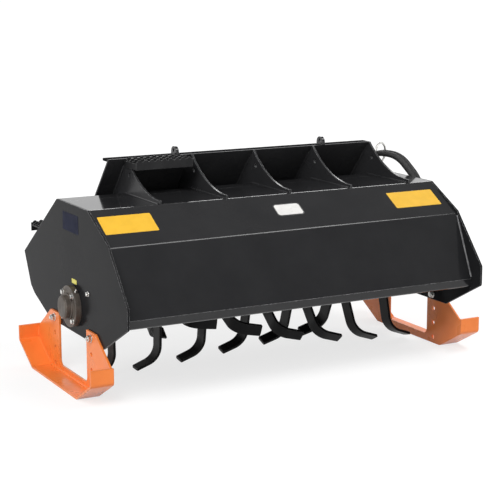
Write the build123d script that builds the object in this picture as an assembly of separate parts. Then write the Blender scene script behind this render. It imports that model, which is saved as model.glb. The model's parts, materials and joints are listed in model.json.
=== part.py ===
from build123d import *
import os
from math import atan2, cos, degrees, radians, sin, tan

# Rotary tiller that a skid steer carries: hood, quick attach plate, skid shoes and a tined rotor.
# Millimetres. X runs across the machine, +Y is the carrier's side, +Z is up, and the floor is z = 0.

# Hood, as (y, z) places on its side outline
hood_width = 1500
side_t = 8
sheet_t = 6
bend_r = 8
deck_z = 670
deck_front_y = -168
deck_seam_y = 60
deck_rear_y = 136
knee_y = -350
knee_z = 576
panel_knee_drop = 11
nose_y = -516
nose_top_z = 382
nose_low_z = 305
toe_y = -294
side_bottom_z = 186
heel_y = 242
skirt_y = 412
skirt_z = 251
tuck_y = 450
tuck_z = 278
tail_y = 516
tail_z = 404
panel_low_y = -460
panel_low_z = 322
lip_h = 34
lip_return = 36
nose_r = 12

# Quick attach plate, its hook lip at the top and its latch ledge at the bottom
attach_width = 1180
attach_centre_x = 51
attach_t = 8
attach_top_y = 128
attach_rise = 134
attach_foot_y = 424
hook_depth = 50
hook_t = 10
ledge_depth = 56
ledge_t = 12
ledge_rise = 60
latch_inset = 82
latch_slot_w = 64
latch_slot_d = 28

# Gussets between deck and attach plate
gusset_t = 8
gusset_inset = 74
gusset_tip_h = 13
gusset_arc_sag = 33
gusset_hole_r = 9
gusset_hole_drop = 61
gusset_hole_front = 22
gusset_foot_gap = 46

# Lifting lugs on the hook lip
lug_spacing = 664
lug_offset_x = 37
lug_t = 12
lug_r = 24
lug_rise = 31
lug_bore_r = 8
lug_bore_rise = 15

# Serrated treads: one beside the left gusset, one at the left end of the rear slope
tread_t = 4
tread_bar_t = 5
tread_bar_h = 14
tooth_h = 7
tooth_pitch = 26
upper_tread_length = 236
upper_tread_overhang = 6
upper_tread_depth = 104
upper_tread_drop = 9
upper_tread_flange = 24
upper_tread_bars = 4
rear_tread_plate_gap = 11
rear_tread_depth = 111
rear_tread_z = 519
rear_tread_flange = 26
rear_tread_bars = 5
rear_tread_end_gap = 4
tread_bracket_inset = 40

# Rotor
rotor_y = -14
rotor_z = 288
tube_r = 45
tube_gap = 12
stub_r = 25
stub_end_out = 34
running_clearance = 0.05
flange_count = 7
flange_r = 105
flange_t = 10
tine_tip_r = 283
tine_t = 10
tine_w = 58
tine_tip_w = 44
tine_root_r = 55
tine_bend_r = 62
tine_bend = 70
tine_reach = 104
tine_side_gap = 43
tine_taper_r = 190
tines_per_hand = 3
left_tine_angle = -3
left_tine_step = 5.5
right_tine_angle = -90
right_tine_step = 12.5

# Bearing on the left, motor on the right
shaft_hole_r = 50
bearing_r = 78
bearing_t = 22
bearing_neck_r = 52
bearing_neck_t = 7
cap_r = 44
cap_t = 20
cap_wall = 10
cap_bore_r = 33
motor_flange_r = 88
motor_w = 110
motor_corner_r = 22
motor_l = 58
motor_cover_r = 48
motor_cover_t = 8
port_r = 13
port_h = 16

# Skid shoes
sole_w = 88
sole_t = 8
sole_flat = 232
sole_half = 375
sole_rise = 80
sole_top = 140
shoe_t = 8
shoe_bend_r = 10
shoe_bend_room = 1
shoe_gap_half = 139
shoe_gap_r = 22
shoe_bar_top = 29
shoe_arm_half = 225
shoe_edge_drop = 8
shoe_hole_r = 8.5
shoe_hole_y = 184
shoe_hole_pitch = 60
shoe_hole_rows = 4
shoe_bolt_rise = 20
shoe_top_margin = 23

# Hoses, from the motor's ports up the right side and over to the couplers
hose_r = 12
hose_pair_gap = 30
hose_out = 40
hose_y_shift = -6
hose_heading = 116
hose_route = [(0, 632), (110, 745), (215, 750), (296, 702)]
hose_slack = 0.45
clip_z = 505
clip_h = 30
clip_margin = 9
clip_clearance = 0.3
guide_s = 200
guide_r = 40
guide_bar_r = 5
holder_margin = 8
holder_l = 18
tab_start = 186
tab_h = 92
tab_reach = 49

# Coupler stages along its axis: radius, length, form of the section
COUPLER = [(14, 18, "round"), (16.5, 14, "hexagon"), (15, 22, "round"), (10, 8, "round")]

# Places worked out from the sizes above
half = hood_width / 2
inner_half = half - side_t
slope = (tail_z - deck_z) / (tail_y - deck_rear_y)
attach_top_z = deck_z + attach_rise
attach_fall = attach_top_z - deck_z - slope * (attach_foot_y - deck_rear_y)
attach_tilt = degrees(atan2(attach_foot_y - attach_top_y, attach_fall))
lean = Vector(sin(radians(attach_tilt)), -cos(radians(attach_tilt)))
back = Vector(cos(radians(attach_tilt)), sin(radians(attach_tilt)))
attach_top = Vector(attach_top_y, attach_top_z)
upper_tread_z = attach_top_z - upper_tread_drop
latch_half = attach_width / 2 - latch_inset
attach_left = attach_centre_x - attach_width / 2
attach_right = attach_centre_x + attach_width / 2
gusset_first = attach_left + gusset_inset
gusset_pitch = (attach_right - gusset_t - gusset_first) / 4
gusset_x = [gusset_first + k * gusset_pitch for k in range(5)]
outer_flange_x = inner_half - tine_side_gap - tine_reach
flange_pitch = 2 * outer_flange_x / (flange_count - 1)
flange_x = [-outer_flange_x + k * flange_pitch for k in range(flange_count)]
shoe_bolt_z = side_bottom_z + shoe_bolt_rise
shoe_arm_top = shoe_bolt_z + shoe_top_margin


def slope_z(y):
    """Height of the rear slope's outer face."""
    return deck_z + slope * (y - deck_rear_y)


def meet_slope(start):
    """Point where a line from start, along the attach plate, meets the rear slope."""
    run = (slope_z(start.X) - start.Y) / (lean.Y - slope * lean.X)
    return start + lean * run


def shifted(points, distance):
    """Points of an open path moved sideways, to the left of its direction, with mitred corners."""
    path = [Vector(*p) for p in points]
    ways = [(b - a).normalized() for a, b in zip(path, path[1:])]
    sides = [Vector(-w.Y, w.X) for w in ways]
    result = [path[0] + sides[0] * distance]
    for point, before, after in zip(path[1:-1], sides, sides[1:]):
        result.append(point + (before + after) * (distance / (1 + before.dot(after))))
    result.append(path[-1] + sides[-1] * distance)
    return result


def path_edges(points, radius):
    """Straight runs through the points, with each corner rounded."""
    pairs = [(p.X, p.Y) for p in (Vector(*q) for q in points)]
    if len(pairs) == 2:
        return Line(*pairs).edges()
    return FilletPolyline(*pairs, radius=radius).edges()


def strip(outer, inner, outer_r, inner_r):
    """Closed face between two like paths, as a bent strip seen from its end."""
    first = path_edges(outer, outer_r)
    second = path_edges(inner, inner_r)
    ends = [Line(Vector(*outer[k]), Vector(*inner[k])).edge() for k in (0, -1)]
    return make_face([*first, *second, *ends])


def polygon(points):
    return make_face(Polyline(*[(p.X, p.Y) for p in (Vector(*q) for q in points)], close=True).edges())


def across(face, x_from, x_to):
    """Extrude a (y, z) face along X."""
    return extrude(Plane.YZ.offset(x_from) * face, amount=x_to - x_from)


def rod(x_from, x_to, radius, y=rotor_y, z=rotor_z):
    """Round bar along X."""
    return across(Pos(y, z) * Circle(radius), x_from, x_to)


def sector(angle):
    """Turn about the rotor's axis."""
    return Pos(0, rotor_y, rotor_z) * Rot(angle, 0, 0)


# Hood sheets: one bent run from the front lip over the deck to the rear skirt
SHEET = [
    (panel_low_y + lip_return, panel_low_z - lip_h),
    (panel_low_y, panel_low_z - lip_h),
    (panel_low_y, panel_low_z),
    (knee_y, knee_z - panel_knee_drop),
    (deck_front_y, deck_z),
    (deck_seam_y, deck_z),
    (deck_rear_y, deck_z),
    (tail_y, tail_z),
    (tuck_y, tuck_z),
    (skirt_y, skirt_z),
]


def hood_sheet(first, last):
    """Sheet between two corners of the run, mitred where it meets the next one."""
    inside = shifted(SHEET, -sheet_t)
    face = strip(SHEET[first:last + 1], inside[first:last + 1], bend_r + sheet_t, bend_r)
    return across(face, -inner_half, inner_half)


def side_plate(side):
    outline = polygon([
        (deck_rear_y, deck_z),
        (deck_front_y, deck_z),
        (knee_y, knee_z),
        (nose_y, nose_top_z),
        (nose_y, nose_low_z),
        (toe_y, side_bottom_z),
        (heel_y, side_bottom_z),
        (skirt_y, skirt_z),
        (tuck_y, tuck_z),
        (tail_y, tail_z),
    ])
    nose = outline.vertices().group_by(Axis.X)[0]
    outline = fillet(nose, nose_r)
    bends = outline.vertices().group_by(Axis.Y)[-1]
    outline = fillet(bends, bend_r + sheet_t)
    outline -= Pos(rotor_y, rotor_z) * Circle(shaft_hole_r)
    bolts = [Pos(rotor_y + s * shoe_hole_y, shoe_bolt_z) * Circle(shoe_hole_r) for s in (-1, 1)]
    outline -= bolts
    x_from = inner_half if side > 0 else -half
    return across(outline, x_from, x_from + side_t)


# Quick attach plate and what it carries
plate_back_top = attach_top + Vector(attach_t / cos(radians(attach_tilt)), 0)
plate_foot = meet_slope(attach_top)
plate_back_foot = meet_slope(plate_back_top)


def on_plate(down, out):
    """Point in (y, z), a way down the attach plate's back face and out from it."""
    return plate_back_top + lean * down + back * out


def attach_plate():
    face = polygon([attach_top, plate_back_top, plate_back_foot, plate_foot])
    return across(face, attach_left, attach_right)


def hook_lip():
    under = plate_back_top + lean * (hook_t / -lean.Y)
    tip = plate_back_top + Vector(hook_depth, 0)
    face = polygon([plate_back_top, tip, tip - Vector(0, hook_t), under])
    return across(face, attach_left, attach_right)


def latch_ledge():
    """Bar along the foot of the plate's back, with a slot for each of the carrier's lock pins."""
    length = (plate_back_foot - plate_back_top).length
    low = length - ledge_rise
    face = polygon([on_plate(low, 0), on_plate(low, ledge_depth), on_plate(low - ledge_t, ledge_depth),
                    on_plate(low - ledge_t, 0)])
    bar = across(face, attach_left, attach_right)
    middle = on_plate(low - ledge_t / 2, ledge_depth / 2)
    for side in (-1, 1):
        at = Pos(attach_centre_x + side * latch_half, middle.X, middle.Y)
        bar -= at * Rot(attach_tilt, 0, 0) * Box(latch_slot_w, latch_slot_d, 3 * ledge_t)
    return bar


def lift_lug(side):
    centre_y = plate_back_top.X + hook_depth / 2
    centre_z = attach_top_z + lug_rise - lug_r
    ear = Pos(centre_y, centre_z) * Circle(lug_r)
    ear += Pos(centre_y, (attach_top_z + centre_z) / 2) * Rectangle(2 * lug_r, centre_z - attach_top_z)
    above = Pos(centre_y, attach_top_z + lug_rise) * Rectangle(4 * lug_r, 2 * lug_rise)
    ear = (ear & above) - Pos(centre_y, attach_top_z + lug_bore_rise) * Circle(lug_bore_r)
    x = attach_centre_x + lug_offset_x + side * lug_spacing / 2
    return across(ear, x - lug_t / 2, x + lug_t / 2)


def gusset(x, top_z):
    """Web with a hollow curved front edge, from the deck's front up the attach plate to top_z."""
    tip = Vector(deck_front_y, deck_z + gusset_tip_h)
    chord = attach_top - tip
    middle = tip + chord * 0.5 + Vector(chord.Y, -chord.X).normalized() * gusset_arc_sag
    foot_top = plate_foot - lean * gusset_foot_gap
    foot_low = Vector(foot_top.X, slope_z(foot_top.X))
    deck_end = Vector(deck_rear_y, deck_z)
    deck_start = Vector(deck_front_y, deck_z)
    runs = Polyline(attach_top, foot_top, foot_low, deck_end, deck_start, tip)
    face = make_face([*runs.edges(), ThreePointArc(tip, middle, attach_top).edge()])
    span = attach_foot_y - deck_front_y
    face &= Pos(deck_front_y + span / 2, top_z - attach_rise * 2) * Rectangle(2 * span, attach_rise * 4)
    face -= Pos(attach_top_y - gusset_hole_front, attach_top_z - gusset_hole_drop) * Circle(gusset_hole_r)
    return across(face, x, x + gusset_t)


# Treads
def tread_bar(length):
    """Flat bar on edge with a row of blunt teeth, in (x, z), starting at x = 0."""
    count = max(1, int(length // tooth_pitch))
    margin = (length - count * tooth_pitch) / 2
    root = tread_bar_h - tooth_h
    points = [(0, 0), (0, root)]
    for k in range(count):
        start = margin + k * tooth_pitch
        points += [(start + share * tooth_pitch, root + rise)
                   for share, rise in ((0.12, 0), (0.34, tooth_h), (0.66, tooth_h), (0.88, 0))]
    points += [(length, root), (length, 0)]
    return polygon(points)


def tread_rows(x, length, y_rows, z):
    """Toothed bars side by side on a tread's pan."""
    rows = []
    for y in y_rows:
        frame = Plane(origin=(x, y + tread_bar_t / 2, z), x_dir=(1, 0, 0), z_dir=(0, -1, 0))
        rows.append(extrude(frame * tread_bar(length), amount=tread_bar_t))
    return rows


def spread(first, last, count):
    return [first + (last - first) * k / (count - 1) for k in range(count)]


def upper_step():
    """Pan on the first gusset, against the attach plate, with flanges on three sides and toothed bars."""
    x_from = gusset_x[0] - upper_tread_overhang
    x_to = x_from + upper_tread_length
    face_y = attach_top_y + (attach_top_z - upper_tread_z) * tan(radians(attach_tilt))
    low_y = face_y + tread_t * tan(radians(attach_tilt))
    front = attach_top_y - upper_tread_depth
    low = upper_tread_z - upper_tread_flange
    pan = polygon([(front, upper_tread_z), (face_y, upper_tread_z), (low_y, upper_tread_z - tread_t),
                   (front + tread_t, upper_tread_z - tread_t), (front + tread_t, low), (front, low)])
    step = across(pan, x_from, x_to)
    end_flange = polygon([(front, upper_tread_z), (face_y, upper_tread_z), (face_y, low), (front, low)])
    for x in (x_from, x_to - tread_t):
        step += across(end_flange, x, x + tread_t)
    rows = spread(front + tread_bar_t / 2, attach_top_y - tread_bar_t, upper_tread_bars)
    return step + tread_rows(x_from, x_to - x_from, rows, upper_tread_z)


def rear_step():
    """Level pan that meets the rear slope at its front edge, on two brackets, open underneath."""
    x_from = -inner_half + rear_tread_end_gap
    x_to = attach_left - rear_tread_plate_gap
    front_top = deck_rear_y + (rear_tread_z - deck_z) / slope
    front_low = front_top - tread_t / slope
    rear = front_top + rear_tread_depth
    low = rear_tread_z - rear_tread_flange
    pan = polygon([(front_top, rear_tread_z), (rear, rear_tread_z), (rear, low), (rear - tread_t, low),
                   (rear - tread_t, rear_tread_z - tread_t), (front_low, rear_tread_z - tread_t)])
    step = across(pan, x_from, x_to)
    web = polygon([(front_top, rear_tread_z), (rear, rear_tread_z), (rear, low),
                   (rear - rear_tread_flange, slope_z(rear - rear_tread_flange))])
    for x in (x_from + tread_bracket_inset, x_to - tread_t):
        step += across(web, x, x + tread_t)
    rows = spread(front_top + tread_bar_t, rear - tread_bar_t / 2, rear_tread_bars)
    return step + tread_rows(x_from, x_to - x_from, rows, rear_tread_z)


# Rotor
def rotor_tube():
    end = inner_half - tube_gap
    stub = half + stub_end_out
    return rod(-end, end, tube_r) + rod(-stub, stub, stub_r)


def tine_flange(x):
    disc = rod(x - flange_t / 2, x + flange_t / 2, flange_r)
    return disc - rod(x - flange_t, x + flange_t, tube_r)


def tine(x, hand, angle):
    """L-shaped tine: shank flat on the flange, bent sideways to the given hand, narrower at its tip."""
    arm = tine_reach - flange_t / 2
    drop = arm / tan(radians(tine_bend))
    corner = Vector(hand * flange_t / 2, -(tine_tip_r - drop))
    tip = Vector(hand * (flange_t / 2 + arm), -tine_tip_r)
    root = Vector(hand * flange_t / 2, -tine_root_r)
    past = tip + (tip - corner).normalized() * tine_t
    near = [root, corner, past]
    far = shifted(near, hand * tine_t)
    bar = strip(near, far, tine_bend_r + tine_t, tine_bend_r)
    side = extrude(Plane.XZ.offset(-tine_w / 2) * bar, amount=tine_w)
    narrow = polygon([(-tine_w / 2, -tine_root_r), (-tine_w / 2, -tine_taper_r), (-tine_tip_w / 2, -tine_tip_r * 1.1),
                      (tine_tip_w / 2, -tine_tip_r * 1.1), (tine_w / 2, -tine_taper_r), (tine_w / 2, -tine_root_r)])
    narrow &= Circle(tine_tip_r)
    reach = across(narrow, -2 * tine_reach, 2 * tine_reach)
    box = Pos(hand * tine_reach / 2, 0, -tine_tip_r / 2) * Box(tine_reach, 2 * tine_w, tine_tip_r)
    return sector(angle) * Pos(x, 0, 0) * (side & reach & box)


def tine_set(index):
    """The tines of one flange: the two hands take turns around it, and an end flange has the outward hand alone."""
    x = flange_x[index]
    spacing = 360 / tines_per_hand
    hands = {-1: left_tine_angle + index * left_tine_step, 1: right_tine_angle + index * right_tine_step}
    if index == 0:
        del hands[1]
    if index == flange_count - 1:
        del hands[-1]
    return [tine(x, hand, start + k * spacing) for hand, start in hands.items() for k in range(tines_per_hand)]


# Rotor ends
def bearing_flange():
    body = rod(-half - bearing_t, -half, bearing_r)
    body += rod(-half - bearing_t - bearing_neck_t, -half - bearing_t, bearing_neck_r)
    return body - rod(-half - 2 * bearing_t, -half, stub_r + running_clearance)


def bearing_cap():
    seat = -half - bearing_t - bearing_neck_t
    cup = rod(seat - cap_t, seat, cap_r)
    cup = chamfer(cup.faces().sort_by(Axis.X)[0].edges(), cap_wall / 2)
    return cup - rod(seat - cap_t + cap_wall, seat, cap_bore_r)


def motor_flange():
    body = rod(half, half + bearing_t, motor_flange_r)
    return body - rod(half, half + bearing_t, stub_r + running_clearance)


def hose_start(index):
    """Foot of each hose's upright run, over the motor's port."""
    aside = Vector(cos(radians(hose_heading - 90)), sin(radians(hose_heading - 90)))
    foot = Vector(half + hose_out, rotor_y + hose_y_shift) + aside * (index * hose_pair_gap)
    return foot


def hydraulic_motor():
    start = half + bearing_t
    end = start + motor_l
    section = Pos(rotor_y, rotor_z) * RectangleRounded(motor_w, motor_w, motor_corner_r)
    body = across(section, start, end)
    body += rod(end, end + motor_cover_t, motor_cover_r)
    body -= rod(start, half + stub_end_out + cap_wall, cap_bore_r)
    for index in (0, 1):
        foot = hose_start(index)
        body += Pos(foot.X, foot.Y, rotor_z + motor_w / 2) * extrude(Circle(port_r), amount=port_h)
    return body


# Hoses
hose_foot_z = rotor_z + motor_w / 2 + port_h


def hose_plane(index):
    """Upright plane that a hose bends in: its x is along the heading, its y is height."""
    foot = hose_start(index)
    way = (cos(radians(hose_heading)), sin(radians(hose_heading)), 0)
    aside = (cos(radians(hose_heading - 90)), sin(radians(hose_heading - 90)), 0)
    return Plane(origin=(foot.X, foot.Y, 0), x_dir=way, z_dir=aside)


def hose_path(index):
    points = [Vector(0, hose_foot_z)] + [Vector(*p) for p in hose_route]
    runs = [b - a for a, b in zip(points, points[1:])]
    radii = []
    for before, after in zip(runs, runs[1:]):
        turn = before.get_angle(after)
        radii.append(hose_slack * min(before.length, after.length) / tan(radians(turn / 2)))
    return hose_plane(index) * FilletPolyline(*[(p.X, p.Y) for p in points], radius=radii)


def hose(index):
    path = hose_path(index)
    return sweep(Plane(origin=path @ 0, z_dir=path % 0) * Circle(hose_r), path=path)


def coupler(index):
    """Ferrule, nut, sleeve and nose in line with the end of a hose."""
    path = hose_path(index)
    axis = Plane(origin=path @ 1, z_dir=path % 1)
    body = Part()
    start = 0
    for radius, length, form in COUPLER:
        section = RegularPolygon(radius, 6) if form == "hexagon" else Circle(radius)
        body += axis.offset(start) * extrude(section, amount=length)
        start += length
    return body


def hose_clip():
    """Block on the right side plate that holds both hoses in their upright run."""
    feet = [hose_start(0), hose_start(1)]
    reach = max(f.X for f in feet) + hose_r
    low = min(f.Y for f in feet) - hose_r - clip_margin
    high = max(f.Y for f in feet) + hose_r + clip_margin
    block = Pos((half + reach) / 2, (low + high) / 2, clip_z) * Box(reach - half, high - low, clip_h)
    for foot in feet:
        block -= Pos(foot.X, foot.Y, clip_z) * Cylinder(hose_r + clip_clearance, 2 * clip_h)
    return block


def hose_guide():
    """Round bar ring about both hoses, on a stem from the last gusset."""
    way = hose_plane(0).x_dir
    centre = (hose_start(0) + hose_start(1)) * 0.5
    top = hose_route[2][1]
    middle = Vector(centre.X + way.X * guide_s, centre.Y + way.Y * guide_s, top)
    bar = Plane.XZ * Pos(guide_r, 0) * RegularPolygon(guide_bar_r, 6)
    ring = Plane(origin=middle, z_dir=way) * revolve(bar, Axis.Z)
    reach = middle - hose_plane(0).z_dir * guide_r
    stem = across(Pos(reach.Y, reach.Z) * Circle(guide_bar_r), attach_right, reach.X)
    return ring + stem


def coupler_tab():
    """Ear in line with the attach plate, from its right end out past the middle of the couplers."""
    face = polygon([on_plate(tab_start, 0), on_plate(tab_start + tab_h, 0),
                    on_plate(tab_start + tab_h, -attach_t), on_plate(tab_start, -attach_t)])
    middle_x = sum((hose_path(index) @ 1).X for index in (0, 1)) / 2
    return across(face, attach_right, middle_x + tab_reach)


def coupler_holder():
    """Block on the ear with a bore for each coupler."""
    path = hose_path(0)
    axis = Plane(origin=path @ 1, x_dir=hose_plane(0).z_dir, z_dir=path % 1)
    bore_r = COUPLER[0][0] + clip_clearance
    length = hose_pair_gap + 2 * (bore_r + holder_margin)
    tall = 4 * (bore_r + holder_margin)
    block = axis * Pos(hose_pair_gap / 2, 0, holder_l / 2) * Box(length, tall, holder_l)
    for index in (0, 1):
        block -= axis * Pos(index * hose_pair_gap, 0, 0) * Cylinder(bore_r, 4 * holder_l)
    seat = on_plate(tab_start, 0)
    under = Plane(origin=(attach_right, seat.X, seat.Y), x_dir=(1, 0, 0), z_dir=(0, back.X, back.Y))
    block -= under * Pos(0, 0, -2 * tall) * Box(20 * tall, 20 * tall, 4 * tall)
    return block


# Skid shoes
SOLE = [(-sole_half, sole_top), (-sole_half, sole_rise), (-sole_flat, 0),
        (sole_flat, 0), (sole_half, sole_rise), (sole_half, sole_top)]


def skid_sole(side):
    inside = shifted(SOLE, sole_t)
    face = Pos(rotor_y, 0) * strip(SOLE, inside, shoe_bend_r + sole_t, shoe_bend_r)
    x_from = half if side > 0 else -half - sole_w
    return across(face, x_from, x_from + sole_w)


def skid_upright(side):
    """U-shaped plate with two arms that bolt to the side plate through a column of holes."""
    inside = shifted(SOLE, sole_t)
    edge_z = sole_top - shoe_edge_drop
    rim = [(inside[0].X, edge_z)] + inside[1:5] + [(inside[5].X, edge_z)]
    face = polygon([(-shoe_arm_half, shoe_arm_top)] + rim + [(shoe_arm_half, shoe_arm_top)])
    bends = face.vertices().sort_by(Axis.Y)[0:4]
    face = fillet(bends, shoe_bend_r + shoe_bend_room)
    gap_h = shoe_arm_top - shoe_bar_top + shoe_gap_r
    face -= Pos(0, shoe_bar_top + gap_h / 2) * RectangleRounded(2 * shoe_gap_half, gap_h, shoe_gap_r)
    for column in (-shoe_hole_y, shoe_hole_y):
        for row in range(shoe_hole_rows):
            face -= Pos(column, shoe_bolt_z - row * shoe_hole_pitch) * Circle(shoe_hole_r)
    x_from = half if side > 0 else -half - shoe_t
    return across(Pos(rotor_y, 0) * face, x_from, x_from + shoe_t)


NODES = {
    "side_plate_left": side_plate(-1),
    "side_plate_right": side_plate(1),
    "front_lip": hood_sheet(0, 2),
    "front_panel": hood_sheet(2, 5),
    "deck_shell": hood_sheet(5, 7),
    "rear_skirt": hood_sheet(7, 9),
    "attach_plate": attach_plate(),
    "hook_lip": hook_lip(),
    "latch_ledge": latch_ledge(),
    "lift_lug_left": lift_lug(-1),
    "lift_lug_right": lift_lug(1),
    "upper_step": upper_step(),
    "rear_step": rear_step(),
    "bearing_flange": bearing_flange(),
    "bearing_cap": bearing_cap(),
    "motor_flange": motor_flange(),
    "hydraulic_motor": hydraulic_motor(),
    "hose_pressure": hose(0),
    "hose_return": hose(1),
    "hose_clip": hose_clip(),
    "hose_guide": hose_guide(),
    "couplers": [coupler(0), coupler(1)],
    "coupler_tab": coupler_tab(),
    "coupler_holder": coupler_holder(),
    "skid_upright_left": skid_upright(-1),
    "skid_upright_right": skid_upright(1),
    "skid_sole_left": skid_sole(-1),
    "skid_sole_right": skid_sole(1),
    "rotor_tube": rotor_tube(),
    "tine_flanges": [tine_flange(x) for x in flange_x],
}
for number, x in enumerate(gusset_x, 1):
    NODES[f"gusset_{number}"] = gusset(x, upper_tread_z - tread_t if number == 1 else attach_top_z)
for index in range(flange_count):
    NODES[f"tines_{index + 1}"] = tine_set(index)

os.makedirs("parts", exist_ok=True)
for name, shape in NODES.items():
    solids = shape if isinstance(shape, list) else [shape]
    export_step(Compound([s for piece in solids for s in piece.solids()]), f"parts/{name}.step")
hose_edges = hose_path(0).edges()
print("hose length", round(sum(e.length for e in hose_edges)))
print("hose radii", [round(e.radius) for e in hose_edges if e.geom_type == GeomType.CIRCLE])
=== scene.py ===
import json
from math import ceil, cos, pi, radians, sin, tau

import bpy
from mathutils import Matrix, Vector

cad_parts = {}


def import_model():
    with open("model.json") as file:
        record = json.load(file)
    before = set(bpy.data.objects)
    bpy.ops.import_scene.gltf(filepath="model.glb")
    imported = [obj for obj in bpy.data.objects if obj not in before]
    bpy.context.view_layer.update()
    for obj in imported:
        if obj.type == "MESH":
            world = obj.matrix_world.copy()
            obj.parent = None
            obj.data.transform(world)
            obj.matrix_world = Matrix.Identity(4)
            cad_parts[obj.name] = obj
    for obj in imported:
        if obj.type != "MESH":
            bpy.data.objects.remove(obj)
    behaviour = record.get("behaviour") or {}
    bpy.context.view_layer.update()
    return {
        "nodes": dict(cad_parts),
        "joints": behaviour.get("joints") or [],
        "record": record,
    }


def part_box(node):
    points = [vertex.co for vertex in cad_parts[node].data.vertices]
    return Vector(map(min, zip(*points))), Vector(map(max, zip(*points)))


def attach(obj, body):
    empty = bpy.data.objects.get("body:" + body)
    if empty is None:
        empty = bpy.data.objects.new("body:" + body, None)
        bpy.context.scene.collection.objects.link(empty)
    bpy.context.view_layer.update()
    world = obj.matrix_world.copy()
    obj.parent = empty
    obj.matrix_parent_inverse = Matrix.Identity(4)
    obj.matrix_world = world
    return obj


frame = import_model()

NODES = frame["nodes"]
LEFT = Vector((-1, 0, 0))
RIGHT = Vector((1, 0, 0))
FRONT = Vector((0, -1, 0))
UP = Vector((0, 0, 1))

# Places taken from the frame, in metres
AXLE = Vector(frame["joints"][0]["pos_m"])
PLATE_LEFT_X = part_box("side_plate_left")[0].x
PLATE_RIGHT_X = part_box("side_plate_right")[1].x
INNER_LEFT_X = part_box("side_plate_left")[1].x
INNER_RIGHT_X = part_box("side_plate_right")[0].x
DECK_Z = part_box("deck_shell")[1].z
DECK_FRONT = Vector((0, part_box("gusset_1")[0].y, DECK_Z))
PANEL_LOW = Vector((0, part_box("front_panel")[0].y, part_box("front_panel")[0].z))
TAIL_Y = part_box("deck_shell")[1].y
ATTACH_TOP = Vector((0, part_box("attach_plate")[0].y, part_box("attach_plate")[1].z))
SHOE_TOP_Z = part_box("skid_upright_left")[1].z

# Places, sizes and counts that the boxes don't give, in metres
KNEE = Vector((0, -0.350, 0.565))
DECK_REAR = Vector((0, 0.136, DECK_Z))
TAIL = Vector((0, TAIL_Y, 0.404))
ATTACH_FOOT_Y = 0.424
BEARING_T = 0.022
SHOE_T = 0.008
GUSSET_COUNT = 5
FLANGE_COUNT = 7
FLANGE_HALF = 0.005

# Middles of the rotor's flanges, evenly spaced from the first to the last
FLANGE_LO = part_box("tine_flanges")[0].x + FLANGE_HALF
FLANGE_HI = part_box("tine_flanges")[1].x - FLANGE_HALF
FLANGE_X = [FLANGE_LO + (FLANGE_HI - FLANGE_LO) * k / (FLANGE_COUNT - 1) for k in range(FLANGE_COUNT)]

# Settings that all finishes share; a band is the stretch of a noise or a slope that counts
TONE_BAND = (0.35, 0.65)
ROUGHNESS_BAND = (0.3, 0.7)
ROUGHNESS_TO_TONE = 1.7
EDGE_BAND = (0.985, 0.88)
CHIP_SCALE = 90.0
CHIP_BAND = (0.35, 0.6)
DUST_COLOUR = (0.16, 0.15, 0.14)
DUST_SLOPE_BAND = (0.55, 1.0)
DUST_SCALE = 9.0
DUST_BAND = (0.35, 0.75)
BUMP_DEPTH = 0.001
COAT_ROUGHNESS = 0.12
WHITE = (1.0, 1.0, 1.0, 1.0)


# Materials
def node(tree, kind, inputs=None, **settings):
    """Add a node, set its options, and link or set its inputs."""
    made = tree.nodes.new(kind)
    for key, value in settings.items():
        setattr(made, key, value)
    for key, value in (inputs or {}).items():
        if isinstance(value, bpy.types.NodeSocket):
            tree.links.new(value, made.inputs[key])
        else:
            made.inputs[key].default_value = value
    return made


def noise(tree, where, scale, detail, roughness=0.55):
    """Noise from 0 to 1."""
    inputs = {"Vector": where, "Scale": scale, "Detail": detail, "Roughness": roughness}
    return node(tree, "ShaderNodeTexNoise", inputs).outputs["Fac"]


def ranged(tree, value, low, high, to_low=0.0, to_high=1.0):
    """Value stretched from one range to another, and held at its ends."""
    inputs = {"Value": value, "From Min": low, "From Max": high, "To Min": to_low, "To Max": to_high}
    return node(tree, "ShaderNodeMapRange", inputs).outputs["Result"]


def maths(tree, operation, first, second):
    """One operation on two numbers or sockets."""
    return node(tree, "ShaderNodeMath", {0: first, 1: second}, operation=operation).outputs["Value"]


def mixed(tree, share, first, second):
    """Colour between two colours or colour sockets."""
    made = node(tree, "ShaderNodeMix", data_type="RGBA")
    tree.links.new(share, made.inputs["Factor"])
    for socket, value in ((made.inputs[6], first), (made.inputs[7], second)):
        if isinstance(value, bpy.types.NodeSocket):
            tree.links.new(value, socket)
        else:
            socket.default_value = (*value, 1.0)
    return made.outputs[2]


def worn_and_highlit(tree, where, colour, edge, rounded, normal):
    """Colour with chipped, lighter edges, found where the rounded normal leaves the face's own; the lighter
    edges are partly wear and partly a painted highlight.
    """
    turn = node(tree, "ShaderNodeVectorMath", {0: rounded, 1: normal}, operation="DOT_PRODUCT")
    rim = ranged(tree, turn.outputs["Value"], *EDGE_BAND)
    chips = ranged(tree, noise(tree, where, CHIP_SCALE, detail=6.0, roughness=0.7), *CHIP_BAND)
    return mixed(tree, maths(tree, "MULTIPLY", rim, chips), colour, edge)


def dusted(tree, where, colour, dust, normal):
    """Colour with a thin, patchy film of dust on what faces up."""
    up = node(tree, "ShaderNodeSeparateXYZ", {"Vector": normal}).outputs["Z"]
    lying = ranged(tree, up, *DUST_SLOPE_BAND, 0.0, dust)
    patches = ranged(tree, noise(tree, where, DUST_SCALE, detail=8.0, roughness=0.7), *DUST_BAND)
    return mixed(tree, maths(tree, "MULTIPLY", lying, patches), colour, DUST_COLOUR)


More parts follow.
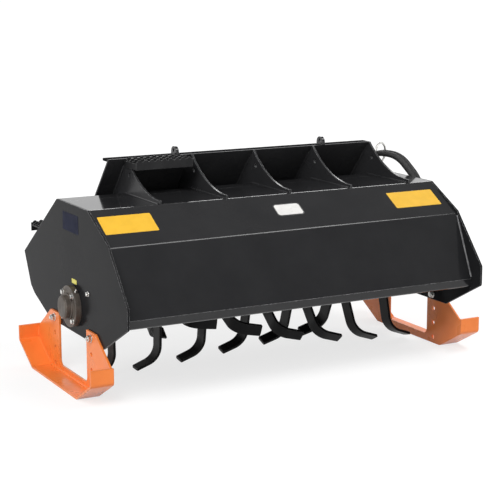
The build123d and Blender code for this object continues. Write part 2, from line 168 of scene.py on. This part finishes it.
def finish_material(name, dark, light, roughness, tone_scale=6.0, grain=(400.0, 0.05), edge=None,
                    edge_r=0.0025, metallic=0.0, coat=0.0, specular=0.5, dust=0.0):
    """Colour that drifts between two tones, drifting roughness, grain, and maybe lighter edges (partly
    wear, partly painted highlight) and dust.
    """
    material = bpy.data.materials.new(name)
    material.use_nodes = True
    tree = material.node_tree
    shader = tree.nodes["Principled BSDF"]
    shader.inputs["Metallic"].default_value = metallic
    shader.inputs["Coat Weight"].default_value = coat
    shader.inputs["Coat Roughness"].default_value = COAT_ROUGHNESS
    shader.inputs["Specular IOR Level"].default_value = specular
    where = node(tree, "ShaderNodeTexCoord").outputs["Object"]
    normal = node(tree, "ShaderNodeNewGeometry").outputs["Normal"]
    rounded = node(tree, "ShaderNodeBevel", {"Radius": edge_r}, samples=4).outputs["Normal"]
    tone = ranged(tree, noise(tree, where, tone_scale, detail=5.0), *TONE_BAND)
    colour = mixed(tree, tone, dark, light)
    drift = noise(tree, where, tone_scale * ROUGHNESS_TO_TONE, detail=2.0)
    rough = ranged(tree, drift, *ROUGHNESS_BAND, *roughness)
    if edge:
        # Lighter edges: chipped wear, and a painted highlight along every edge
        colour = worn_and_highlit(tree, where, colour, edge, rounded, normal)
    if dust:
        colour = dusted(tree, where, colour, dust, normal)
    grain_scale, grain_strength = grain
    height = noise(tree, where, grain_scale, detail=4.0)
    inputs = {"Strength": grain_strength, "Distance": BUMP_DEPTH, "Height": height, "Normal": rounded}
    bump = node(tree, "ShaderNodeBump", inputs)
    tree.links.new(colour, shader.inputs["Base Color"])
    tree.links.new(rough, shader.inputs["Roughness"])
    tree.links.new(bump.outputs["Normal"], shader.inputs["Normal"])
    return material


# Settings of each finish; grain is the scale and strength of the bump
COATED = {"grain": (420.0, 0.03), "dust": 0.03}
PRINTED = {"tone_scale": 25.0, "grain": (900.0, 0.03), "edge_r": 0.0006}
FINISHES = {
    # The slots of the record
    "charcoal_paint": dict(
        dark=(0.0158, 0.016, 0.0173), light=(0.0192, 0.0194, 0.0207), roughness=(0.07, 0.11),
        edge=(0.20, 0.20, 0.205), specular=0.38, **COATED),
    "orange_paint": dict(
        dark=(0.91, 0.225, 0.042), light=(0.97, 0.260, 0.052), roughness=(0.24, 0.36),
        grain=(380.0, 0.06), edge=(0.95, 0.32, 0.12), coat=0.08, specular=0.35),
    "tine_black": dict(
        dark=(0.005, 0.005, 0.0055), light=(0.009, 0.009, 0.0095), roughness=(0.30, 0.42),
        tone_scale=14.0, grain=(260.0, 0.14), edge=(0.13, 0.126, 0.122), specular=0.09),
    "bearing_iron": dict(
        dark=(0.075, 0.062, 0.052), light=(0.14, 0.118, 0.098), roughness=(0.42, 0.62),
        tone_scale=26.0, grain=(520.0, 0.22), edge=(0.30, 0.28, 0.26), metallic=0.35),
    "motor_black": dict(
        dark=(0.012, 0.012, 0.013), light=(0.02, 0.02, 0.021), roughness=(0.36, 0.5),
        tone_scale=16.0, grain=(480.0, 0.18), edge=(0.12, 0.12, 0.12)),
    "hose_rubber": dict(
        dark=(0.011, 0.011, 0.011), light=(0.019, 0.019, 0.019), roughness=(0.55, 0.72),
        tone_scale=30.0, grain=(900.0, 0.5)),
    "clip_plastic": dict(
        dark=(0.016, 0.016, 0.017), light=(0.024, 0.024, 0.025), roughness=(0.48, 0.6),
        tone_scale=20.0, grain=(1100.0, 0.2), edge=(0.06, 0.06, 0.06)),
    "zinc_steel": dict(
        dark=(0.58, 0.575, 0.56), light=(0.74, 0.73, 0.70), roughness=(0.22, 0.38),
        tone_scale=40.0, grain=(700.0, 0.12), edge=(0.85, 0.85, 0.84), edge_r=0.001, metallic=1.0),
    "tread_black": dict(
        dark=(0.009, 0.009, 0.0098), light=(0.015, 0.015, 0.0158), roughness=(0.45, 0.65),
        tone_scale=18.0, grain=(300.0, 0.45), edge=(0.20, 0.20, 0.20), edge_r=0.0018, specular=0.25),
    # Lit and shaded copies of the charcoal paint: lighter or darker colours are painted light and shade,
    # lighter edge and weld colours are painted highlights
    # Darker colour is painted shade on the side plates; the lighter edge colour is a painted highlight
    # along their edges
    "plate_paint_shaded": dict(
        dark=(0.0132, 0.0134, 0.0145), light=(0.0165, 0.0167, 0.0178), roughness=(0.15, 0.20),
        edge=(0.34, 0.34, 0.345), specular=0.03, **COATED),
    # Darker colour and darker edges are painted shade on the hook lip's top
    "lip_paint_shaded": dict(
        dark=(0.012, 0.0122, 0.0132), light=(0.016, 0.0162, 0.0172), roughness=(0.45, 0.55),
        grain=(420.0, 0.05), edge=(0.10, 0.10, 0.103), specular=0.0),
    # Lighter colour is painted light on the gussets; the lighter edge colour is a painted highlight along
    # their curved edges
    "web_paint_lit": dict(
        dark=(0.026, 0.0262, 0.0278), light=(0.031, 0.0312, 0.0328), roughness=(0.22, 0.28),
        edge=(0.30, 0.30, 0.305), specular=0.16, **COATED),
    # Lighter colour is painted light on the shaded attach plate
    "attach_paint_lit": dict(
        dark=(0.034, 0.0342, 0.0360), light=(0.042, 0.0422, 0.0440), roughness=(0.24, 0.32),
        edge=(0.07, 0.07, 0.072), specular=0.05, **COATED),
    # Light grey colour is a painted highlight on the beads' ripples
    "bead_paint_highlit": dict(
        dark=(0.10, 0.10, 0.105), light=(0.19, 0.19, 0.195), roughness=(0.22, 0.30),
        tone_scale=30.0, grain=(300.0, 0.1), specular=0.6),
    # Colour lighter than the charcoal paint is a painted highlight on the beads
    "weld_paint_highlit": dict(
        dark=(0.030, 0.030, 0.032), light=(0.048, 0.048, 0.050), roughness=(0.20, 0.28),
        grain=(300.0, 0.1), specular=0.6),
    # Blank labels
    "yellow_label": dict(
        dark=(0.74, 0.42, 0.022), light=(0.80, 0.46, 0.028), roughness=(0.28, 0.4), coat=0.2, **PRINTED),
    "lemon_label": dict(
        dark=(0.70, 0.62, 0.05), light=(0.76, 0.68, 0.06), roughness=(0.28, 0.4), coat=0.2, **PRINTED),
    "blue_label": dict(
        dark=(0.007, 0.009, 0.026), light=(0.010, 0.013, 0.036), roughness=(0.28, 0.4),
        specular=0.02, **PRINTED),
    "badge_rim": dict(
        dark=(0.03, 0.03, 0.032), light=(0.04, 0.04, 0.042), roughness=(0.25, 0.35), coat=0.2, **PRINTED),
    "badge_face": dict(
        dark=(0.70, 0.69, 0.67), light=(0.76, 0.75, 0.73), roughness=(0.25, 0.35), coat=0.3, **PRINTED),
}
MATERIALS = {name: finish_material(name, **settings) for name, settings in FINISHES.items()}
# Nodes with a lit or shaded copy of the charcoal paint (painted light or shade in the colour), by the start
# of their names
SHADED_OR_LIT_COPY_OF = {
    "side_plate": "plate_paint_shaded",
    "hook_lip": "lip_paint_shaded",
    "gusset": "web_paint_lit",
    "attach_plate": "attach_paint_lit",
}


def dress_nodes():
    """Each node of the frame takes the finish of its slot in the record, or a lit or shaded copy of that
    paint, with painted light or shade in its colour.
    """
    for part in frame["record"]["subparts"]:
        finish = part["material_slot"]
        # A copy paints light or shade into the charcoal colour of these nodes
        for start, coat in SHADED_OR_LIT_COPY_OF.items():
            if part["node"].startswith(start):
                finish = coat
        mesh = NODES[part["node"]].data
        mesh.materials.clear()
        mesh.materials.append(MATERIALS[finish])


# Small forms, as points and faces
class Gathered:
    """Points and faces of many small forms, made into one piece."""

    sharp_angle = radians(38)

    def __init__(self):
        self.points = []
        self.faces = []

    def add(self, forms, place=Matrix()):
        """Add forms, stood at a place."""
        for points, faces in forms:
            start = len(self.points)
            self.points += [place @ Vector(p) for p in points]
            self.faces += [[start + k for k in face] for face in faces]

    def make(self, name, finish, body="frame"):
        """Make one object of all the forms, riding on a body."""
        mesh = bpy.data.meshes.new(name)
        mesh.from_pydata(self.points, [], self.faces)
        mesh.shade_smooth()
        mesh.set_sharp_from_angle(angle=self.sharp_angle)
        mesh.materials.append(MATERIALS[finish])
        made = bpy.data.objects.new(name, mesh)
        bpy.context.collection.objects.link(made)
        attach(made, body)


def skin(rings, closed=False):
    """Faces over a row of rings with equally many points: capped at both ends, or joined end to end."""
    sides = len(rings[0])
    points = [p for ring in rings for p in ring]
    faces = []
    for i in range(len(rings) if closed else len(rings) - 1):
        a = i * sides
        b = (i + 1) % len(rings) * sides
        faces += [[a + k, a + (k + 1) % sides, b + (k + 1) % sides, b + k] for k in range(sides)]
    if not closed:
        faces += [list(range(sides))[::-1], [len(points) - sides + k for k in range(sides)]]
    return points, faces


def lathe(profile, sides):
    """Turned form about Z from (radius, height) pairs; six sides make a hexagon."""
    turns = [tau * k / sides for k in range(sides)]
    return skin([[(r * cos(turn), r * sin(turn), z) for turn in turns] for r, z in profile])


def facing(place, normal, spin=0.0):
    """Matrix that stands a form on a face: its Z along the normal."""
    turn = Vector(normal).to_track_quat("Z", "Y").to_matrix().to_4x4()
    return Matrix.Translation(place) @ turn @ Matrix.Rotation(spin, 4, "Z")


def on_face(origin, right, up):
    """Matrix of a face from its middle, its right-hand way and its upward way."""
    normal = right.cross(up)
    rows = [(right[k], up[k], normal[k], origin[k]) for k in range(3)]
    return Matrix((*rows, (0, 0, 0, 1)))


# Profiles of fasteners as (radius, height), in units of the shank's radius
WASHER = [(2.0, 0), (2.0, 0.3), (1.9, 0.38)]
BOLT_HEAD = [(1.68, 0.36), (1.73, 0.42), (1.73, 1.42), (1.52, 1.62)]
BOLT_CROWN = [(1.5, 1.5), (1.5, 1.64), (1.36, 1.68)]
NUT_BODY = [(1.52, 0.36), (1.73, 0.56), (1.73, 1.76), (1.5, 1.96)]
SHANK_END = [(1.0, 1.8), (1.0, 2.5), (0.82, 2.7)]
SCREW_HEAD = [(1.5, 0), (1.5, 1.2), (1.36, 1.45), (0.9, 1.45), (0.82, 0.7)]


def scaled(profile, size):
    """Profile in units of a shank's radius, brought to size."""
    return [(r * size, z * size) for r, z in profile]


def bolt(r):
    """Washer and chamfered hexagon head for a shank of radius r."""
    return [lathe(scaled(WASHER, r), sides=24),
            lathe(scaled(BOLT_HEAD, r), sides=6),
            lathe(scaled(BOLT_CROWN, r), sides=24)]


def nut(r):
    """Washer, hexagon nut and the end of the shank."""
    return [lathe(scaled(WASHER, r), sides=24),
            lathe(scaled(NUT_BODY, r), sides=6),
            lathe(scaled(SHANK_END, r), sides=16)]


def cap_screw(r):
    """Round head with a rolled rim and a hollow for a key."""
    return [lathe(scaled(SCREW_HEAD, r), sides=20)]


def bead(path, radius, pitch=0.006, closed=False):
    """Rippled weld bead along straight runs, with three rings a ripple."""
    sides = 8
    rings_per_ripple = 3
    valley = 0.84
    ripple = 0.16
    wander = 0.05
    wander_pace = 2.3
    rings = []
    ends = list(zip(path, path[1:] + path[:1])) if closed else list(zip(path, path[1:]))
    walked = 0.0
    for start, end in ends:
        way = (end - start).normalized()
        aside = way.orthogonal().normalized()
        over = way.cross(aside)
        length = (end - start).length
        steps = max(1, ceil(length / (pitch / rings_per_ripple)))
        for k in range(steps + (not closed and end is path[-1])):
            along = length * k / steps
            phase = (walked + along) / pitch
            swell = radius * (valley + ripple * abs(cos(pi * phase)) + wander * sin(wander_pace * phase))
            middle = start + way * along
            rings.append([middle + (aside * cos(tau * j / sides) + over * sin(tau * j / sides)) * swell
                          for j in range(sides)])
        walked += length
    return skin(rings, closed)


def rounded_outline(width, height, radius, steps=6):
    """Rectangle with round corners."""
    corners = ((1, 1, 0), (-1, 1, 1), (-1, -1, 2), (1, -1, 3))
    return [(sx * (width / 2 - radius) + radius * cos(pi / 2 * (quarter + k / steps)),
             sy * (height / 2 - radius) + radius * sin(pi / 2 * (quarter + k / steps)))
            for sx, sy, quarter in corners for k in range(steps + 1)]


def label(width, height, radius, thick):
    """Thin plate with round corners and a soft top edge."""
    rings = []
    for inset, z in ((0, 0), (0, thick * 0.5), (thick * 0.5, thick)):
        outline = rounded_outline(width - 2 * inset, height - 2 * inset, radius - inset)
        rings.append([(x, y, z) for x, y in outline])
    return [skin(rings)]


# Fasteners
def off_axle(x, across, up):
    """Point at x, set off from the rotor's axis."""
    place = AXLE + Vector((0, across, up))
    return (x, place.y, place.z)


def frame_bolts():
    """Bolts of the rotor's ends, motor cover, shoes and hose clip, and a lone one on the left plate."""
    bearing_reach = 0.047
    bearing_r = 0.0055
    motor_reach = 0.0555
    motor_r = 0.0044
    cover_reach = 0.040
    cover_r = 0.004
    cover_inset = 0.008
    cover_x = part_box("hydraulic_motor")[1].x - cover_inset
    shoe_reach = 0.184
    shoe_r = 0.0075
    shoe_drop = 0.023
    shoe_z = SHOE_TOP_Z - shoe_drop
    lone_place = (PLATE_LEFT_X, -0.160, 0.362)
    lone_r = 0.005
    clip_r = 0.0026
    clip_edge = 0.005
    # Outward way, outer face and inner face of each side plate
    plates = ((LEFT, PLATE_LEFT_X, INNER_LEFT_X), (RIGHT, PLATE_RIGHT_X, INNER_RIGHT_X))
    # The spins turn the hexagon heads a little, as after tightening
    zinc = Gathered()
    for sy in (-1, 1):
        for sz in (-1, 1):
            bearing = off_axle(PLATE_LEFT_X - BEARING_T, sy * bearing_reach, sz * bearing_reach)
            zinc.add(bolt(bearing_r), facing(bearing, LEFT, spin=0.4 * sy + 0.2 * sz))
            motor = off_axle(PLATE_RIGHT_X + BEARING_T, sy * motor_reach, sz * motor_reach)
            zinc.add(bolt(motor_r), facing(motor, RIGHT, spin=0.3 * sy))
            cover = off_axle(cover_x, sy * cover_reach, sz * cover_reach)
            zinc.add(cap_screw(cover_r), facing(cover, RIGHT))
        shoe_y = AXLE.y + sy * shoe_reach
        for way, outer, inner in plates:
            zinc.add(nut(shoe_r), facing((outer + way.x * SHOE_T, shoe_y, shoe_z), way, spin=0.25 * sy))
            zinc.add(bolt(shoe_r), facing((inner, shoe_y, shoe_z), -way, spin=0.1 * sy))
    zinc.add(bolt(lone_r), facing(lone_place, LEFT, spin=0.2))
    clip_lo, clip_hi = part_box("hose_clip")
    for y in (clip_lo.y + clip_edge, clip_hi.y - clip_edge):
        zinc.add(cap_screw(clip_r), facing((clip_hi.x, y, (clip_lo.z + clip_hi.z) / 2), RIGHT))
    zinc.make("frame_bolts", "zinc_steel")


def tine_bolts():
    """Two bolts a tine: heads on the tine, nuts on the flange's other face."""
    tine_t = 0.010
    shank_r = 0.005
    reaches = (0.068, 0.092)
    tines_per_hand = 3
    # Hand, angle of the first flange's tine from straight down, and step to the next flange, in degrees
    helices = ((-1, -3.0, 5.5), (1, -90.0, 12.5))
    # The inner face of each end flange carries no tines: number of the flange, and hand
    bare_faces = ((0, 1), (FLANGE_COUNT - 1, -1))
    made = Gathered()
    for index, x in enumerate(FLANGE_X):
        for hand, start, step in helices:
            if (index, hand) in bare_faces:
                continue
            way = Vector((hand, 0, 0))
            head_x = x + hand * (FLANGE_HALF + tine_t)
            nut_x = x - hand * FLANGE_HALF
            for number in range(tines_per_hand):
                angle = radians(start + step * index + 360.0 / tines_per_hand * number)
                for reach in reaches:
                    y = AXLE.y + reach * sin(angle)
                    z = AXLE.z - reach * cos(angle)
                    made.add(bolt(shank_r), facing((head_x, y, z), way, spin=angle))
                    made.add(nut(shank_r), facing((nut_x, y, z), -way, spin=angle))
    made.make("tine_bolts", "zinc_steel", "rotor")


def grease_nipple():
    """Nipple on the rim of the bearing flange: a foot, a neck and a rounded end."""
    angle = radians(128)
    root_r = 0.0775
    profile = [(0.0050, 0), (0.0050, 0.006), (0.0030, 0.008), (0.0030, 0.012), (0.0038, 0.0135),
               (0.0030, 0.0165), (0.0014, 0.018)]
    way = Vector((0, cos(angle), sin(angle)))
    root = AXLE + way * root_r
    made = Gathered()
    made.add([lathe(profile, sides=12)], facing((PLATE_LEFT_X - BEARING_T / 2, root.y, root.z), way))
    made.make("grease_nipple", "zinc_steel")


def hose_ends():
    """Swivel nut and crimped ferrule where each hose meets its port."""
    pair_angle = radians(26)
    pair_gap = 0.030
    first_out = 0.040
    first_shift = -0.006
    swivel = [(0.0138, -0.002), (0.0144, 0.0), (0.0144, 0.014), (0.0134, 0.016)]
    full_r = 0.0136
    crimp_r = 0.0129
    crimp_count = 4
    crimp_start = 0.021
    crimp_pitch = 0.007
    ferrule = [(0.0131, 0.015), (full_r, 0.017)]
    for k in range(crimp_count):
        z = crimp_start + k * crimp_pitch
        ferrule += [(full_r, z), (crimp_r, z + 0.0012), (crimp_r, z + 0.0022), (full_r, z + 0.0034)]
    ferrule += [(full_r, 0.050), (0.0127, 0.052)]
    aside = Vector((cos(pair_angle), sin(pair_angle), 0))
    foot_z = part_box("hose_pressure")[0].z
    first = Vector((PLATE_RIGHT_X + first_out, AXLE.y + first_shift, foot_z))
    made = Gathered()
    for index in (0, 1):
        foot = first + aside * (pair_gap * index)
        made.add([lathe(swivel, sides=6)], facing(foot, UP))
        made.add([lathe(ferrule, sides=24)], facing(foot, UP))
    made.make("hose_ends", "zinc_steel")


# Weld beads
def at_x(points, x):
    """The same points, moved to one x."""
    return [Vector((x, p.y, p.z)) for p in points]


def between(start, end, trim):
    """Run between two points, shortened at both ends."""
    way = (end - start).normalized() * trim
    return [start + way, end - way]


def hood_welds():
    """Beads along both faces of the gussets, the attach plate's foot and the lift lugs."""
    web_r = 0.0042
    web_front = 0.012
    web_trim = 0.003
    web_top = 0.040
    web_end = 0.046
    plate_r = 0.0045
    plate_trim = 0.005
    lug_r = 0.0032
    lug_trim = 0.003
    slope = (TAIL.z - DECK_Z) / (TAIL.y - DECK_REAR.y)
    foot = Vector((0, ATTACH_FOOT_Y, DECK_Z + slope * (ATTACH_FOOT_Y - DECK_REAR.y)))
    lean = (foot - ATTACH_TOP).normalized()
    web_foot = foot - lean * web_end
    slope_foot = Vector((0, web_foot.y, DECK_Z + slope * (web_foot.y - DECK_REAR.y)))
    on_deck = [DECK_FRONT + Vector((0, web_front, 0)), DECK_REAR]
    on_slope = between(DECK_REAR, slope_foot, web_trim)
    on_plate = [ATTACH_TOP + lean * web_top, web_foot]
    made = Gathered()
    for number in range(1, GUSSET_COUNT + 1):
        lo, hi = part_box(f"gusset_{number}")
        for x in (lo.x, hi.x):
            for run in (on_deck, on_slope, on_plate):
                made.add([bead(at_x(run, x), web_r)])
    lo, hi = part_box("attach_plate")
    for y in (ATTACH_FOOT_Y, hi.y):
        z = DECK_Z + slope * (y - DECK_REAR.y)
        run = [Vector((lo.x + plate_trim, y, z)), Vector((hi.x - plate_trim, y, z))]
        made.add([bead(run, plate_r)])
    for side in ("left", "right"):
        lo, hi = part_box(f"lift_lug_{side}")
        for x in (lo.x, hi.x):
            run = [Vector((x, lo.y + lug_trim, lo.z)), Vector((x, hi.y - lug_trim, lo.z))]
            made.add([bead(run, lug_r)])
    # The beads' lighter colour is a painted highlight
    made.make("hood_welds", "weld_paint_highlit")


def panel_welds():
    """Beads where the front panel meets the side plates; their light grey colour is a painted highlight."""
    bead_r = 0.0048
    ripple_pitch = 0.0085
    trim = 0.008
    made = Gathered()
    for x in (INNER_LEFT_X, INNER_RIGHT_X):
        made.add([bead(at_x(between(KNEE, PANEL_LOW, trim), x), bead_r, ripple_pitch)])
    made.make("panel_welds", "bead_paint_highlit")


def shoe_welds():
    """Bead along the corner between each upright and its sole."""
    bead_r = 0.0042
    trim = 0.006
    half_length = 0.367
    half_flat = 0.2296
    end_rise = 0.0772
    end_top = 0.128
    bend_lift = 0.0075
    bend = end_rise + bend_lift
    # Across from the axle, and height, along the sole's upper face
    route = [(-half_length, end_top), (-half_length, bend), (-half_flat, SHOE_T),
             (half_flat, SHOE_T), (half_length, bend), (half_length, end_top)]
    made = Gathered()
    for x in (PLATE_LEFT_X - SHOE_T, PLATE_RIGHT_X + SHOE_T):
        corners = [Vector((x, AXLE.y + across, height)) for across, height in route]
        for start, end in zip(corners, corners[1:]):
            made.add([bead(between(start, end, trim), bead_r)])
    made.make("shoe_welds", "orange_paint")


def rotor_welds():
    """Ring of weld on both faces of each flange, round the tube."""
    bead_r = 0.0038
    ripple_pitch = 0.0071
    tube_r = 0.045
    steps = 40
    turns = [tau * k / steps for k in range(steps)]
    made = Gathered()
    for middle in FLANGE_X:
        for x in (middle - FLANGE_HALF, middle + FLANGE_HALF):
            ring = [Vector((x, AXLE.y + tube_r * cos(turn), AXLE.z + tube_r * sin(turn))) for turn in turns]
            made.add([bead(ring, bead_r, ripple_pitch, closed=True)])
    made.make("rotor_welds", "tine_black", "rotor")


# Blank labels
def panel_labels():
    """Two yellow labels and a rimmed badge on the upper front panel, all blank."""
    down = (KNEE - DECK_FRONT).normalized()
    # Name, from and to across, from and to down the panel, corner radius, thickness and finish
    for name, x_from, x_to, near, far, radius, thick, finish in (
            ("label_left", -0.729, -0.522, 0.042, 0.141, 0.004, 0.0008, "yellow_label"),
            ("label_right", 0.496, 0.708, 0.051, 0.146, 0.004, 0.0008, "yellow_label"),
            ("badge_rim", -0.026, 0.093, 0.058, 0.129, 0.016, 0.0008, "badge_rim"),
            ("badge", -0.021, 0.088, 0.063, 0.124, 0.012, 0.0014, "badge_face")):
        middle = DECK_FRONT + down * ((near + far) / 2) + RIGHT * ((x_from + x_to) / 2)
        made = Gathered()
        made.add(label(x_to - x_from, far - near, radius, thick), on_face(middle, RIGHT, -down))
        made.make(name, finish)


def plate_labels():
    """Two blank labels on the left side plate."""
    radius = 0.003
    thick = 0.0008
    # Name, from and to in y, from and to in height, and finish
    for name, y_from, y_to, z_from, z_to, finish in (
            ("label_side", -0.078, 0.076, 0.565, 0.634, "blue_label"),
            ("label_bearing", -0.049, -0.002, 0.374, 0.391, "lemon_label")):
        middle = Vector((PLATE_LEFT_X, (y_from + y_to) / 2, (z_from + z_to) / 2))
        made = Gathered()
        made.add(label(y_to - y_from, z_to - z_from, radius, thick), on_face(middle, FRONT, UP))
        made.make(name, finish)


# Studio
def area_lamp(name, place, target, size, power):
    """Rectangular lamp that looks at a target."""
    lamp = bpy.data.lights.new(name, "AREA")
    lamp.shape = "RECTANGLE"
    lamp.size, lamp.size_y = size
    lamp.energy = power
    made = bpy.data.objects.new(name, lamp)
    made.location = place
    made.rotation_euler = (Vector(target) - Vector(place)).to_track_quat("-Z", "Y").to_euler()
    bpy.context.collection.objects.link(made)


def lamps():
    """Key from the front left, a wide lamp over the knee of the hood, and a rim lamp from behind."""
    # Name, place, target, width and height, and watts
    for name, place, target, size, power in (
            ("key_lamp", (-3.4, -2.6, 3.8), (0, 0, 0.3), (3.0, 3.0), 190.0),
            ("knee_lamp", (1.8, -1.75, 4.2), (0, -0.3, 0.5), (3.4, 1.2), 100.0),
            ("rim_lamp", (2.2, 3.4, 3.0), (0, 0, 0.6), (3.5, 0.9), 75.0)):
        area_lamp(name, place, target, size, power)


def floor():
    """Pale floor; the camera and reflections see it lifted to white, with the object's shadow kept."""
    reach = 70.0
    lift_distance = (1.0, 6.0)
    lift_strength = (0.74, 0.95)
    unseen_tone = 0.60
    seen_tone = 0.30
    corners = [(-reach, -reach, 0), (reach, -reach, 0), (reach, reach, 0), (-reach, reach, 0)]
    mesh = bpy.data.meshes.new("floor")
    mesh.from_pydata(corners, [], [(0, 1, 2, 3)])
    made = bpy.data.objects.new("floor", mesh)
    bpy.context.collection.objects.link(made)
    material = bpy.data.materials.new("floor")
    material.use_nodes = True
    tree = material.node_tree
    where = node(tree, "ShaderNodeTexCoord").outputs["Object"]
    far = node(tree, "ShaderNodeVectorMath", {0: where}, operation="LENGTH").outputs["Value"]
    path = node(tree, "ShaderNodeLightPath").outputs
    seen = maths(tree, "ADD", path["Is Camera Ray"], path["Is Glossy Ray"])
    seen = maths(tree, "ADD", seen, path["Is Transmission Ray"])
    lift = maths(tree, "MULTIPLY", ranged(tree, far, *lift_distance, *lift_strength), seen)
    tone = ranged(tree, seen, 0.0, 1.0, unseen_tone, seen_tone)
    shader = tree.nodes["Principled BSDF"]
    tree.links.new(tone, shader.inputs["Base Color"])
    tree.links.new(lift, shader.inputs["Emission Strength"])
    shader.inputs["Emission Color"].default_value = WHITE
    shader.inputs["Roughness"].default_value = 0.9
    shader.inputs["Specular IOR Level"].default_value = 0.0
    mesh.materials.append(material)


def world():
    """Soft room: white along the horizon and low behind the object, dim elsewhere."""
    dim = 0.26
    bright = 1.05
    behind_band = (-0.1, 0.8)
    low_band = (0.75, 0.15)
    horizon_band = (0.30, 0.18)
    made = bpy.data.worlds.new("studio")
    bpy.context.scene.world = made
    made.use_nodes = True
    tree = made.node_tree
    way = node(tree, "ShaderNodeTexCoord").outputs["Generated"]
    axes = node(tree, "ShaderNodeSeparateXYZ", {"Vector": way}).outputs
    behind = ranged(tree, axes["Y"], *behind_band)
    low = ranged(tree, axes["Z"], *low_band)
    horizon = ranged(tree, axes["Z"], *horizon_band)
    share = maths(tree, "MAXIMUM", maths(tree, "MULTIPLY", behind, low), horizon)
    background = tree.nodes["Background"]
    tree.links.new(ranged(tree, share, 0.0, 1.0, dim, bright), background.inputs["Strength"])
    background.inputs["Color"].default_value = WHITE


def camera():
    """Camera at the photo's place, solved from points on the two side plates."""
    look_down = 11.38
    heading = 28.18
    lens = bpy.data.cameras.new("camera")
    lens.lens = 105.04
    lens.sensor_width = 36.0
    lens.clip_end = 300.0
    made = bpy.data.objects.new("camera", lens)
    made.location = (-2.665, -4.977, 1.562)
    made.rotation_euler = (radians(90 - look_down), 0, radians(-heading))
    bpy.context.collection.objects.link(made)
    bpy.context.scene.camera = made


dress_nodes()
frame_bolts()
tine_bolts()
grease_nipple()
hose_ends()
hood_welds()
panel_welds()
shoe_welds()
rotor_welds()
panel_labels()
plate_labels()
bpy.context.scene.view_settings.view_transform = "Standard"
floor()
world()
camera()
lamps()
